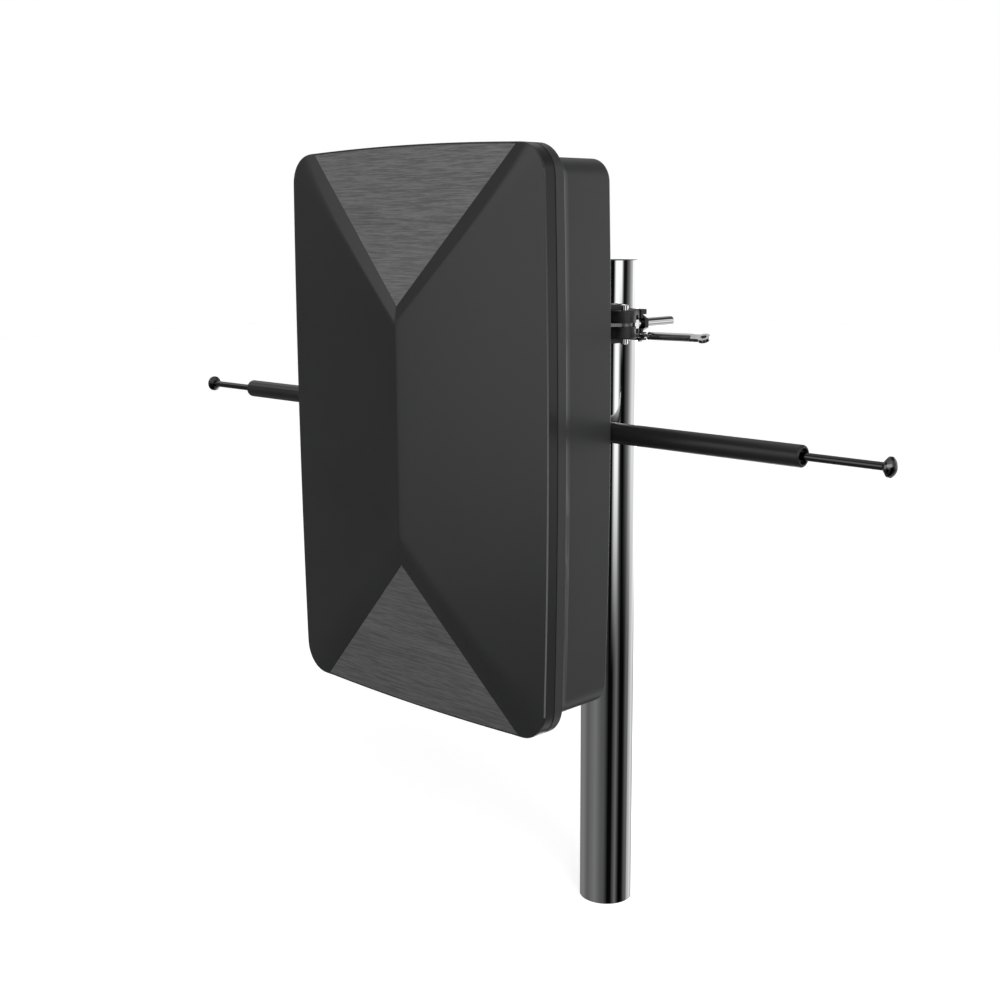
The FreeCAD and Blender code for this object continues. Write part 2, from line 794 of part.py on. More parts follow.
def rod_inner():
    """Sliding rod with a tail that stays inside the sleeve."""
    start = sleeve_reach - rod_inside
    length = rod_inside + rod_showing + tip_socket_depth
    shaft = rod_along(V(1, 0, 0), rod_radius, V(start, 0, 0), length)
    tail = rod_along(V(1, 0, 0), sleeve_bore - rod_tail_clearance, V(start, 0, 0), rod_tail_length)
    return fuse([shaft, tail])


def rod_tip():
    """Turned button: a short neck, a rim and a domed face."""
    start = sleeve_reach + rod_showing
    radius = tip_diameter / 2
    neck_end = start + tip_neck_length
    rim_end = neck_end + tip_rim
    dome_radius = (radius ** 2 + tip_dome ** 2) / (2 * tip_dome)
    dome_centre = rim_end + tip_dome - dome_radius
    half_angle = math.asin(radius / dome_radius) / 2
    top = V(rim_end + tip_dome, 0, 0)
    corners = [V(start, 0, 0), V(start, tip_neck_radius, 0), V(neck_end, radius - tip_chamfer, 0),
               V(neck_end + tip_chamfer, radius, 0), V(rim_end, radius, 0)]
    edges = [Part.LineSegment(a, b).toShape() for a, b in zip(corners, corners[1:])]
    middle = V(dome_centre + dome_radius * math.cos(half_angle), dome_radius * math.sin(half_angle), 0)
    edges.append(Part.Arc(corners[-1], middle, top).toShape())
    edges.append(Part.LineSegment(top, corners[0]).toShape())
    button = Part.Face(Part.Wire(edges)).revolve(V(0, 0, 0), V(1, 0, 0), 360)
    return button.cut(rod_along(V(1, 0, 0), rod_radius + pin_clearance, V(start - OVERRUN, 0, 0),
                                tip_socket_depth + OVERRUN))


def mast_tube():
    tube = along_z(mast_radius, 0, 0, 0, mast_length)
    return tube.cut(along_z(mast_radius - mast_wall, 0, 0, -OVERRUN, mast_length + OVERRUN))


def both_sides(make):
    """Make a clamp feature at the right and, mirrored, at the left."""
    right = make()
    return [right, right.mirror(V(0, 0, 0), V(1, 0, 0))]


def flat_plate(points, z0, z1):
    return prism([V(x, y, z0) for x, y in points], V(0, 0, z1 - z0))


def mast_bracket():
    """Foot on the housing with a flat tongue that the jaw's lobes hold."""
    face = -mast_standoff
    foot = sheet(2 * foot_half_width, 2 * foot_half_height, foot_corner_radius, face, face + foot_thickness)
    side = bracket_pin_x + bracket_eye_radius
    root = foot_half_width - tongue_root_inset
    inside_foot = face + foot_thickness / 2
    plan = [(-root, inside_foot), (root, inside_foot), (side, bracket_pin_y), (-side, bracket_pin_y)]
    tongue = flat_plate(plan, -tongue_half, tongue_half)
    eyes = both_sides(lambda: along_z(bracket_eye_radius, bracket_pin_x, bracket_pin_y,
                                      -tongue_half, tongue_half))
    body = fuse([foot, tongue] + eyes)
    body = body.cut(along_z(jaw_radius + tongue_clearance, 0, 0, -jaw_half, jaw_half))
    for hole in both_sides(lambda: along_z(bracket_pin_radius + pin_clearance, bracket_pin_x, bracket_pin_y,
                                           -jaw_half, jaw_half)):
        body = body.cut(hole)
    places = [(sx * foot_screw_x, sz * foot_screw_z) for sx in (1, -1) for sz in (1, -1)]
    return drilled(body, places, foot_screw_radius + screw_clearance, face, face + foot_thickness)


def bracket_screws():
    length = foot_thickness + housing_wall + backing_thickness + foot_screw_proud
    one = screw(foot_screw_radius, foot_head_radius, foot_head_height, length)
    seat = housing_depth + foot_thickness
    return Part.Compound([placed(one, x, seat, z, 180) for x, z in foot_screw_places()])


def bracket_backing_plate():
    plate = sheet(2 * foot_half_width, 2 * (foot_half_height - backing_inset), foot_corner_radius,
                  rear_inside - backing_thickness, rear_inside, mast_side_offset, clamp_above_centre)
    return drilled(plate, foot_screw_places(), foot_screw_radius + pin_clearance,
                   rear_inside - backing_thickness, rear_inside)


def rounded_rims(block):
    """Round a casting's upper and lower edges."""
    rims = [edge for edge in block.Edges if edge.BoundBox.ZLength < TINY]
    return block.makeFillet(jaw_edge_round, rims)


def clamp_front_jaw():
    """Casting with a tall core and two wings, slit for the tongue in front of the mast."""
    front = bracket_pin_y - jaw_boss_radius
    to_ear_x = ear_x - bracket_pin_x
    to_ear_y = front_split - bracket_pin_y
    turn = math.atan2(to_ear_y, to_ear_x) - math.acos(jaw_boss_radius / math.hypot(to_ear_x, to_ear_y))
    tangent_x = bracket_pin_x + jaw_boss_radius * math.cos(turn)
    tangent_y = bracket_pin_y + jaw_boss_radius * math.sin(turn)
    plan = [(-tangent_x, tangent_y), (tangent_x, tangent_y), (ear_x, front_split), (-ear_x, front_split)]
    nose = [(-bracket_pin_x, front), (bracket_pin_x, front), (bracket_pin_x, tangent_y),
            (-bracket_pin_x, tangent_y)]
    pieces = [flat_plate(plan, -ear_half, ear_half), flat_plate(nose, -ear_half, ear_half)]
    pieces += both_sides(lambda: along_z(jaw_boss_radius, bracket_pin_x, bracket_pin_y, -ear_half, ear_half))
    core_side = bracket_pin_x - jaw_boss_radius
    core = box(-core_side, core_side, front - core_proud, front_ear_face, -jaw_half, jaw_half)
    body = fuse([rounded_rims(fuse(pieces)), rounded_rims(core)])
    gap = box(-LARGE, LARGE, -LARGE, front_ear_face, -lobe_inner, lobe_inner)
    gap = gap.cut(along_z(jaw_radius, 0, 0, -jaw_half, jaw_half))
    body = body.cut(gap)
    body = body.cut(along_z(jaw_bore, 0, 0, -jaw_height, jaw_height))
    pocket_front = front_ear_face - bolt_head_height - head_pocket_clearance
    cuts = both_sides(lambda: box(pocket_left, LARGE, pocket_front, front_ear_face,
                                  -pocket_half, pocket_half))
    cuts += both_sides(lambda: box(bolt_x - bolt_slot_half, LARGE, front_ear_face - OVERRUN, 0,
                                   -bolt_slot_half, bolt_slot_half))
    cuts += both_sides(lambda: along_z(bracket_pin_radius + pin_clearance, bracket_pin_x, bracket_pin_y,
                                       -jaw_height, jaw_height))
    for cut in cuts:
        body = body.cut(cut)
    return body


def lever_space():
    """Slot for the lever's root and its swing, through the right ear's lower arm."""
    high = lever_height + lever_thickness / 2 + lever_slot_clearance
    left = bolt_x - lever_root_radius - lever_swing_clearance
    return box(left, LARGE, -LARGE, LARGE, lever_low, high)


def clamp_rear_jaw():
    """Casting behind the mast: a strap with straight cheeks, and two forked ears."""
    ring = along_z(jaw_radius, 0, 0, -strap_height / 2, strap_height / 2)
    ring = ring.cut(box(-LARGE, LARGE, -LARGE, rear_split, -LARGE, LARGE))
    blocks = both_sides(lambda: box(mast_radius, ear_x, rear_split, nut_rear, ear_bottom, ear_half))
    body = fuse([ring] + blocks)
    cuts = [along_z(jaw_bore, 0, 0, -jaw_height, jaw_height), lever_space()]
    cuts.append(box(-jaw_bore, jaw_bore, -LARGE, 0, -jaw_height, jaw_height))
    cuts += both_sides(lambda: box(pocket_left, LARGE, rear_ear_face, nut_rear + head_pocket_clearance,
                                   -pocket_half, pocket_half))
    cuts += both_sides(lambda: box(bolt_x - bolt_slot_half, LARGE, rear_split - OVERRUN, nut_rear,
                                   -bolt_slot_half, bolt_slot_half))
    cuts.append(along_z(lever_pin_radius + pin_clearance, bolt_x, lever_pin_y, -jaw_height, 0))
    for cut in cuts:
        body = body.cut(cut)
    return body


def bracket_pins():
    reach = ear_half + bracket_pin_proud
    pin = along_z(bracket_pin_radius, bracket_pin_x, bracket_pin_y, -reach, reach)
    ends = [edge for edge in pin.Edges if edge.BoundBox.ZLength < TINY]
    pin = pin.makeChamfer(bracket_pin_chamfer, ends)
    return Part.Compound([pin, pin.mirror(V(0, 0, 0), V(1, 0, 0))])


def clamp_bolts():
    head = hexagon(bolt_head_flats, front_ear_face - bolt_head_height, front_ear_face, bolt_x)
    shank = along_y(bolt_radius, bolt_x, 0, front_ear_face, bolt_free_end)
    end = [edge for edge in shank.Edges if edge.BoundBox.YMin > bolt_free_end - TINY]
    bolt = fuse([head, shank.makeFillet(bolt_end_round, end)])
    return Part.Compound([bolt, bolt.mirror(V(0, 0, 0), V(1, 0, 0))])


def clamp_nuts():
    nut = hexagon(bolt_head_flats, rear_ear_face, nut_rear, bolt_x)
    nut = drilled(nut, [(bolt_x, 0)], bolt_radius + pin_clearance, rear_ear_face, nut_rear)
    return Part.Compound([nut, nut.mirror(V(0, 0, 0), V(1, 0, 0))])


def clamp_lever():
    """Round lever: a flat root on its pin, a rod, and a flattened end with an eye."""
    half_t = lever_thickness / 2
    root = along_z(lever_root_radius, 0, 0, -half_t, half_t)
    neck = box(0, lever_rod_start + OVERRUN, -lever_rod_radius, lever_rod_radius, -half_t, half_t)
    eye_x = lever_length - lever_tip_radius
    rod_end = eye_x - 2 * lever_tip_radius
    along = V(1, 0, 0)
    rod = rod_along(along, lever_rod_radius, V(lever_rod_start, 0, 0), rod_end - lever_rod_start)
    rod = rod.makeFillet(lever_rod_round, [edge for edge in rod.Edges if edge.BoundBox.XMax < rod_end / 2])
    taper = Part.makeCone(lever_rod_radius, half_t, lever_tip_radius, V(rod_end, 0, 0), along)
    tip = box(rod_end - OVERRUN, eye_x, -lever_rod_radius, lever_rod_radius, -half_t, half_t)
    tip = fuse([tip, along_z(lever_tip_radius, eye_x, 0, -half_t, half_t)])
    tip = tip.cut(along_z(lever_eye_radius, eye_x, 0, -lever_thickness, lever_thickness))
    tip.rotate(V(0, 0, 0), along, lever_tip_tilt)
    body = fuse([root, neck, rod, taper, tip])
    body = body.cut(along_z(lever_pin_radius + pin_clearance, 0, 0, -lever_thickness, lever_thickness))
    return placed(body, bolt_x, lever_pin_y, lever_height, lever_rest_turn)


def lever_pin():
    return along_z(lever_pin_radius, bolt_x, lever_pin_y, ear_bottom - lever_pin_proud, -pocket_half)


def build():
    keep("mast_tube", mast_tube(), V(0, 0, 0))
    on_panel("front_cover", front_cover())
    on_panel("top_inlay", inlay_plate(1, 0.0))
    on_panel("bottom_inlay", inlay_plate(-1, 0.0))
    on_panel("cover_seal", cover_seal())
    on_panel("rear_housing", rear_housing())
    on_panel("cover_screws", cover_screws())
    on_panel("reflector_plate", reflector_plate())
    on_panel("reflector_screws", small_screws(reflector_screw_places(), reflector_front))
    on_panel("element_board", element_board())
    on_panel("radiating_elements", radiating_elements())
    on_panel("board_standoffs", board_standoffs())
    on_panel("feed_pins", feed_pins())
    on_panel("amplifier_board", amplifier_board())
    on_panel("amplifier_shield", amplifier_shield())
    on_panel("amplifier_screws", small_screws(amplifier_screw_places(), amplifier_front))
    on_panel("f_connector", f_connector())
    on_panel("f_connector_washer", f_connector_washer())
    on_panel("f_connector_nut", f_connector_nut())
    on_panel("output_lead", output_lead())
    on_panel("rod_base", rod_base())
    on_panel("rod_base_screws", rod_base_screws())
    on_panel("rod_feed_pins", rod_feed_pins())
    for name, side in (("left", -1), ("right", 1)):
        on_panel(name + "_rod_sleeve", on_side(rod_sleeve(), side))
        on_panel(name + "_rod_guide", on_side(rod_guide(), side))
        on_panel(name + "_rod", on_side(rod_inner(), side))
        on_panel(name + "_rod_tip", on_side(rod_tip(), side))
    on_clamp("mast_bracket", mast_bracket())
    on_panel("bracket_screws", bracket_screws())
    on_panel("bracket_backing_plate", bracket_backing_plate())
    on_clamp("clamp_front_jaw", clamp_front_jaw())
    on_clamp("clamp_rear_jaw", clamp_rear_jaw())
    on_clamp("bracket_pins", bracket_pins())
    on_clamp("clamp_bolts", clamp_bolts())
    on_clamp("clamp_nuts", clamp_nuts())
    on_clamp("clamp_lever", clamp_lever())
    on_clamp("lever_pin", lever_pin())


build()
os.makedirs("parts", exist_ok=True)
for node_name, solid in NODES.items():
    solid.exportStep("parts/" + node_name + ".step")
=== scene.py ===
import bpy
import json
import math
import numpy as np
from mathutils import Matrix, Vector


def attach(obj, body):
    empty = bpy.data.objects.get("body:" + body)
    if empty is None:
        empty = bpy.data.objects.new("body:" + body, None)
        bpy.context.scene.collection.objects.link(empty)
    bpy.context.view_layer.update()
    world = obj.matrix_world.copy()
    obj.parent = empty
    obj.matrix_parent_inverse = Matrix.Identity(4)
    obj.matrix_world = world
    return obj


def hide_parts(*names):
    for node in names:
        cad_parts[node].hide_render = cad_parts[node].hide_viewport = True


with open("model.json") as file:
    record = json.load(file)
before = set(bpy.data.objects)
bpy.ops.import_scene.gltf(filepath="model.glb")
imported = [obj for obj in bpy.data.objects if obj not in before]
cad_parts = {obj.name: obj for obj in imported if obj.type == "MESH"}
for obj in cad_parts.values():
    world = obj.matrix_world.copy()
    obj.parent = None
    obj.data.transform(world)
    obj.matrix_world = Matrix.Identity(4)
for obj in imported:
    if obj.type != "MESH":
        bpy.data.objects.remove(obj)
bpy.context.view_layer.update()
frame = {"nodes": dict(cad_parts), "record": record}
scene = bpy.context.scene
scene.view_settings.view_transform = "Standard"

# Camera, fitted to the panel's outline in the photograph: lens and sensor in millimetres, place in metres
LENS = 51.22
SENSOR = 36.0
SHIFT = (-0.0014, 0.0015)
VIEW_REACH = 50.0
CAMERA_RIGHT = (0.7176036, 0.6964301, -0.0054942)
CAMERA_UP = (-0.1288607, 0.1405228, 0.9816559)
CAMERA_BACK = (0.6844268, -0.7037318, 0.1905821)
CAMERA_AT = (0.69794, -0.83779, 0.53853)


def make_camera():
    """Camera at the photograph's place."""
    eye = bpy.data.cameras.new("camera")
    eye.lens = LENS
    eye.sensor_width = SENSOR
    eye.shift_x, eye.shift_y = SHIFT
    eye.clip_end = VIEW_REACH
    place = Matrix((CAMERA_RIGHT, CAMERA_UP, CAMERA_BACK)).transposed().to_4x4()
    place.translation = Vector(CAMERA_AT)
    camera = bpy.data.objects.new("camera", eye)
    camera.matrix_world = place
    scene.collection.objects.link(camera)
    scene.camera = camera


# Node helpers

class Tree:
    """Short calls for building a node tree."""

    def __init__(self, tree):
        self.tree = tree
        tree.nodes.clear()

    def add(self, kind, **values):
        """New node of one kind, with its settings."""
        node = self.tree.nodes.new(kind)
        for key, value in values.items():
            setattr(node, key, value)
        return node

    def link(self, out, into):
        self.tree.links.new(out, into)

    def math(self, operation, a, b):
        """Two numbers or sockets, joined by one operation."""
        node = self.add("ShaderNodeMath", operation=operation)
        for socket, value in zip(node.inputs, (a, b)):
            if isinstance(value, (int, float)):
                socket.default_value = value
            else:
                self.link(value, socket)
        return node.outputs[0]

    def range(self, value, low, high, to_low=0.0, to_high=1.0):
        """Smooth step from one range of values to another."""
        node = self.add("ShaderNodeMapRange", interpolation_type="SMOOTHSTEP")
        self.link(value, node.inputs["Value"])
        node.inputs["From Min"].default_value = low
        node.inputs["From Max"].default_value = high
        node.inputs["To Min"].default_value = to_low
        node.inputs["To Max"].default_value = to_high
        return node.outputs["Result"]

    def mix(self, factor, a, b):
        """Mix of two colours, each a tuple or a socket."""
        node = self.add("ShaderNodeMix", data_type="RGBA")
        self.link(factor, node.inputs["Factor"])
        colours = [socket for socket in node.inputs if socket.type == "RGBA"]
        for socket, value in zip(colours, (a, b)):
            if isinstance(value, tuple):
                socket.default_value = value + (1.0,)
            else:
                self.link(value, socket)
        return [socket for socket in node.outputs if socket.type == "RGBA"][0]

    def coords(self, scale=(1.0, 1.0, 1.0)):
        """Object coordinates in metres, scaled along each axis."""
        place = self.add("ShaderNodeTexCoord")
        mapping = self.add("ShaderNodeMapping")
        mapping.inputs["Scale"].default_value = scale
        self.link(place.outputs["Object"], mapping.inputs["Vector"])
        return mapping.outputs["Vector"]

    def noise(self, coords, scale, detail, roughness=0.5):
        node = self.add("ShaderNodeTexNoise")
        self.link(coords, node.inputs["Vector"])
        node.inputs["Scale"].default_value = scale
        node.inputs["Detail"].default_value = detail
        node.inputs["Roughness"].default_value = roughness
        return node.outputs["Fac"]

    def bump(self, height, strength, distance):
        node = self.add("ShaderNodeBump")
        node.inputs["Strength"].default_value = strength
        node.inputs["Distance"].default_value = distance
        self.link(height, node.inputs["Height"])
        return node.outputs["Normal"]


# Materials: noise scales are per metre, bump depths and heights are metres

# Noise values between which a surface goes from its first look to its second
CLOUD = (0.3, 0.7)
EVEN = (1.0, 1.0, 1.0)

# Moulded materials: two colours, roughness between two values, strength of the grain.
# The nylon is dark here, as the mouths of the sleeves show it
MOULDED = {
    "black_plastic": ((0.0155, 0.0157, 0.016), (0.0185, 0.0187, 0.019), (0.23, 0.265), 0.06),
    "tub_plastic": ((0.0275, 0.0278, 0.028), (0.0315, 0.0318, 0.032), (0.36, 0.41), 0.06),
    "black_tube": ((0.009, 0.009, 0.0092), (0.013, 0.013, 0.0132), (0.3, 0.38), 0.03),
    "seal_rubber": ((0.016, 0.016, 0.016), (0.024, 0.024, 0.024), (0.6, 0.7), 0.12),
    "white_nylon": ((0.03, 0.03, 0.03), (0.05, 0.05, 0.05), (0.4, 0.5), 0.06),
    "lead_sheath": ((0.02, 0.02, 0.02), (0.03, 0.03, 0.03), (0.5, 0.6), 0.06),
}
MOULDED_CLOUDS = 7.0
MOULDED_GRAIN = 1500.0
MOULDED_GRAIN_DEPTH = 0.0002
MOULDED_IOR = 1.46

# Metals: two colours, roughness between two values, scale of their clouds along each axis
METALS = {
    "chrome_mast": ((0.86, 0.865, 0.87), (0.9, 0.905, 0.91), (0.01, 0.03), (1.0, 1.0, 0.15)),
    "chrome_parts": ((0.82, 0.82, 0.83), (0.88, 0.88, 0.89), (0.02, 0.05), EVEN),
    "dark_chrome": ((0.035, 0.035, 0.036), (0.05, 0.05, 0.052), (0.16, 0.24), EVEN),
    "tip_chrome": ((0.1, 0.1, 0.102), (0.13, 0.13, 0.132), (0.1, 0.14), EVEN),
    "rod_steel": ((0.07, 0.07, 0.072), (0.092, 0.092, 0.094), (0.16, 0.24), (0.1, 1.0, 1.0)),
    "zinc_steel": ((0.12, 0.121, 0.123), (0.17, 0.171, 0.173), (0.3, 0.4), EVEN),
    "aluminium_sheet": ((0.6, 0.6, 0.61), (0.7, 0.7, 0.71), (0.35, 0.45), EVEN),
    "nickel": ((0.6, 0.57, 0.5), (0.68, 0.65, 0.58), (0.2, 0.26), EVEN),
    "copper_foil": ((0.7, 0.36, 0.2), (0.8, 0.45, 0.26), (0.3, 0.4), EVEN),
}
METAL_CLOUDS = 40.0
METAL_BUMP = 0.015
METAL_BUMP_DEPTH = 0.0004

# Painted highlight on the cover's rim chamfer: a paler colour in place of the light the edge catches,
# growing between two heights, in patches
PAINTED_HIGHLIGHT_HEIGHTS = (0.6, 0.3)
PAINTED_HIGHLIGHT_PATCHES = 300.0
PAINTED_HIGHLIGHT_PATCH_RANGE = (0.85, 1.0)
PAINTED_HIGHLIGHT_COLOURS = ((0.03, 0.03, 0.031), (0.1, 0.1005, 0.101))
PAINTED_HIGHLIGHT_ROUGHNESS = (0.45, 0.5)

# Brushed plates: scales of the broad and the fine strokes along X, and the share of each
BROAD_STROKES = (45.0, 45.0, 1400.0)
FINE_STROKES = (130.0, 130.0, 2500.0)
BROAD_SHARE = 0.65
FINE_SHARE = 0.35
BRUSHED_SHADES = (0.39, 0.61)
BRUSHED_COLOURS = ((0.107, 0.107, 0.1085), (0.173, 0.173, 0.1755))
BRUSHED_GLOSS = (0.35, 0.65)
BRUSHED_ROUGHNESS = (0.52, 0.40)
BRUSHED_BUMP = 0.12
BRUSHED_BUMP_DEPTH = 0.0003

# Castings: clouds of dark grey with a coarse skin
CAST_COLOURS = ((0.010, 0.010, 0.0105), (0.028, 0.027, 0.0265))
CAST_ROUGHNESS = (0.38, 0.58)
CAST_CLOUDS = 130.0
CAST_SKIN = 700.0
CAST_BUMP = 0.25
CAST_BUMP_DEPTH = 0.0004

# Circuit boards: three greens in a weave
WEAVE_SCALE = 400.0
WEAVE_COLOURS = {
    "Color1": (0.018, 0.085, 0.035, 1.0),
    "Color2": (0.022, 0.1, 0.042, 1.0),
    "Mortar": (0.014, 0.07, 0.03, 1.0),
}

# Nodes whose finish differs from the rest of their slot
OWN_FINISHES = {
    "rear_housing": "tub_plastic",
    "clamp_nuts": "dark_chrome",
    "left_rod_tip": "tip_chrome",
    "right_rod_tip": "tip_chrome",
}


def material(name):
    """New material with a Principled shader: the material, its tree and its shader."""
    made = bpy.data.materials.new(name)
    made.use_nodes = True
    tree = Tree(made.node_tree)
    shader = tree.add("ShaderNodeBsdfPrincipled")
    output = tree.add("ShaderNodeOutputMaterial")
    tree.link(shader.outputs[0], output.inputs["Surface"])
    return made, tree, shader


def varied(tree, shader, colours, roughness, coords, scale):
    """Colour and roughness that wander between two values each. Returns the noise that they follow."""
    cloud = tree.noise(coords, scale, detail=4.0)
    tree.link(tree.mix(tree.range(cloud, *CLOUD), *colours), shader.inputs["Base Color"])
    tree.link(tree.range(cloud, *CLOUD, *roughness), shader.inputs["Roughness"])
    return cloud


def moulded_plastic(name, low, high, roughness, grain):
    """Moulded surface with slow clouds and a fine grain."""
    made, tree, shader = material(name)
    coords = tree.coords()
    varied(tree, shader, (low, high), roughness, coords, MOULDED_CLOUDS)
    fine = tree.noise(coords, MOULDED_GRAIN, detail=1.0)
    tree.link(tree.bump(fine, grain, MOULDED_GRAIN_DEPTH), shader.inputs["Normal"])
    shader.inputs["IOR"].default_value = MOULDED_IOR
    return made


def plated(name, low, high, roughness, stretch):
    """Polished or drawn metal with a faint wander in its gloss."""
    made, tree, shader = material(name)
    cloud = varied(tree, shader, (low, high), roughness, tree.coords(stretch), METAL_CLOUDS)
    tree.link(tree.bump(cloud, METAL_BUMP, METAL_BUMP_DEPTH), shader.inputs["Normal"])
    shader.inputs["Metallic"].default_value = 1.0
    return made


def painted_highlight_edge(name):
    """Moulded edge with a painted highlight: a paler colour in place of the light the edge catches, most at
    its lower half.
    """
    made, tree, shader = material(name)
    coords = tree.coords()
    split = tree.add("ShaderNodeSeparateXYZ")
    tree.link(coords, split.inputs[0])
    cloud = tree.noise(coords, PAINTED_HIGHLIGHT_PATCHES, detail=3.0)
    # Painted highlight: paler towards the lower heights, broken into patches
    lower_highlight_share = tree.range(split.outputs["Z"], *PAINTED_HIGHLIGHT_HEIGHTS)
    painted_highlight_mask = tree.math("MULTIPLY", lower_highlight_share, tree.range(cloud, *CLOUD, *PAINTED_HIGHLIGHT_PATCH_RANGE))
    tree.link(tree.mix(painted_highlight_mask, *PAINTED_HIGHLIGHT_COLOURS), shader.inputs["Base Color"])
    tree.link(tree.range(cloud, *CLOUD, *PAINTED_HIGHLIGHT_ROUGHNESS), shader.inputs["Roughness"])
    return made


def brushed_plate(name):
    """Dark brushed plate with strokes along X."""
    made, tree, shader = material(name)
    broad = tree.noise(tree.coords(BROAD_STROKES), 1.0, detail=2.0, roughness=0.55)
    fine = tree.noise(tree.coords(FINE_STROKES), 1.0, detail=2.0, roughness=0.6)
    broad_part = tree.math("MULTIPLY", broad, BROAD_SHARE)
    fine_part = tree.math("MULTIPLY", fine, FINE_SHARE)
    mixed = tree.math("ADD", broad_part, fine_part)
    shade = tree.range(mixed, *BRUSHED_SHADES)
    tree.link(tree.mix(shade, *BRUSHED_COLOURS), shader.inputs["Base Color"])
    tree.link(tree.range(mixed, *BRUSHED_GLOSS, *BRUSHED_ROUGHNESS), shader.inputs["Roughness"])
    tree.link(tree.bump(mixed, BRUSHED_BUMP, BRUSHED_BUMP_DEPTH), shader.inputs["Normal"])
    shader.inputs["Metallic"].default_value = 0.55
    shader.inputs["Anisotropic"].default_value = 0.5
    return made


def casting(name):
    """Dark cast metal with a rough skin."""
    made, tree, shader = material(name)
    coords = tree.coords()
    varied(tree, shader, CAST_COLOURS, CAST_ROUGHNESS, coords, CAST_CLOUDS)
    skin = tree.noise(coords, CAST_SKIN, detail=3.0)
    tree.link(tree.bump(skin, CAST_BUMP, CAST_BUMP_DEPTH), shader.inputs["Normal"])
    shader.inputs["Metallic"].default_value = 0.25
    return made


def laminate(name):
    """Green board with the weave of its cloth showing."""
    made, tree, shader = material(name)
    weave = tree.add("ShaderNodeTexBrick")
    tree.link(tree.coords(), weave.inputs["Vector"])
    weave.inputs["Scale"].default_value = WEAVE_SCALE
    for socket, colour in WEAVE_COLOURS.items():
        weave.inputs[socket].default_value = colour
    tree.link(weave.outputs["Color"], shader.inputs["Base Color"])
    shader.inputs["Roughness"].default_value = 0.4
    return made


def make_materials():
    """All finishes by name."""
    finishes = {name: moulded_plastic(name, *look) for name, look in MOULDED.items()}
    finishes.update({name: plated(name, *look) for name, look in METALS.items()})
    # Rim chamfer material: a paler colour as a painted highlight
    finishes["painted_highlight_edge"] = painted_highlight_edge("painted_highlight_edge")
    finishes["brushed_inlay"] = brushed_plate("brushed_inlay")
    finishes["dark_casting"] = casting("dark_casting")
    finishes["circuit_board"] = laminate("circuit_board")
    return finishes


MATERIALS = make_materials()


def dress_nodes():
    """Each CAD node takes the material of its slot, or a finish of its own."""
    for part in frame["record"]["subparts"]:
        finish = OWN_FINISHES.get(part["node"], part["material_slot"])
        slots = frame["nodes"][part["node"]].data.materials
        slots.clear()
        slots.append(MATERIALS[finish])


# Front cover as one soft moulded skin, in millimetres from the middle of the rim's front plane

MM = 0.001
PANEL_AT = (-96.5, -117.0, 381.8)

# Outline: width and height over the bowed sides, how far these bow, and the corners
PANEL_W = 278.0
PANEL_H = 430.0
SIDE_BOW = 3.5
END_BOW = 3.6
CORNER_R = 23.7

# Facets: how far the ridge and the facets' edges stand proud
RIDGE = 16.5
FACET_EDGE = 0.4
FACET_SLOPE = (RIDGE - FACET_EDGE) / (PANEL_W / 2)

# Recesses: apex of the strips, then apex and corner of the inlay's plane, and its seat's depth below it
OUTER_APEX = 85.2
INLAY_APEX = 98.5
INLAY_APEX_PROUD = 14.1
INLAY_CORNER_X = 108.4
INLAY_CORNER_Z = 211.0
INLAY_SINK = 0.3

# Blends: width at the ridge, its rise as a share of that, and width at the bevels, wider to their corners
RIDGE_SOFT = 1.6
RIDGE_LIFT = 0.4
BEVEL_SOFT_TOP = 0.35
BEVEL_SOFT_BOTTOM = 2.4
BEVEL_SOFT_GAIN = 1.6
BEVEL_SOFT_POWER = 4

# Rim: its depth, the cover's wall, the inset of the seal, and the bevel of the back edge
RIM_DEPTH = 9.3
COVER_WALL = 2.5
SEAL_INSET = 0.7
RIM_BACK_EDGE = 0.3

# Chamfer of the rim: reach on the front and the side, lean in degrees, and share that is left at the ends
RIM_FRONT = 0.5
RIM_SIDE = 1.9
RIM_LEAN = 14.7
RIM_END_SHARE = 0.35

# Rings of the chamfer: share of its reach across the front and along the side, lean of the normal
RIM_PROFILE = ((0.12, 0.88, RIM_LEAN), (0.88, 0.12, RIM_LEAN), (1.05, 0.0, 90.0))

# Draft of the rim's wall at the long sides, and how far an edge has to face sideways to take the painted
# highlight
RIM_DRAFT = 0.42
PAINTED_HIGHLIGHT_SIDE = 0.985

# Mesh: points on a quarter of the outline, rings of the inner face and of the front, and step for slopes
SIDE_STEPS = 60
CORNER_STEPS = 14
END_STEPS = 44
INNER_SHARES = (0.08, 0.2, 0.34, 0.48, 0.62, 0.76, 0.9, 1.0)
EDGE_INSETS = (1.8, 2.2, 3.0, 4.0, 6.0, 8.0, 10.0)
FRONT_RINGS = 96
NORMAL_STEP = 0.06


def smooth_max(a, b, blend):
    """Larger of two depths, rounded where they differ by less than the blend."""
    near = np.maximum(blend - np.abs(a - b), 0.0) / blend
    return np.maximum(a, b) + near * near * blend / 4.0


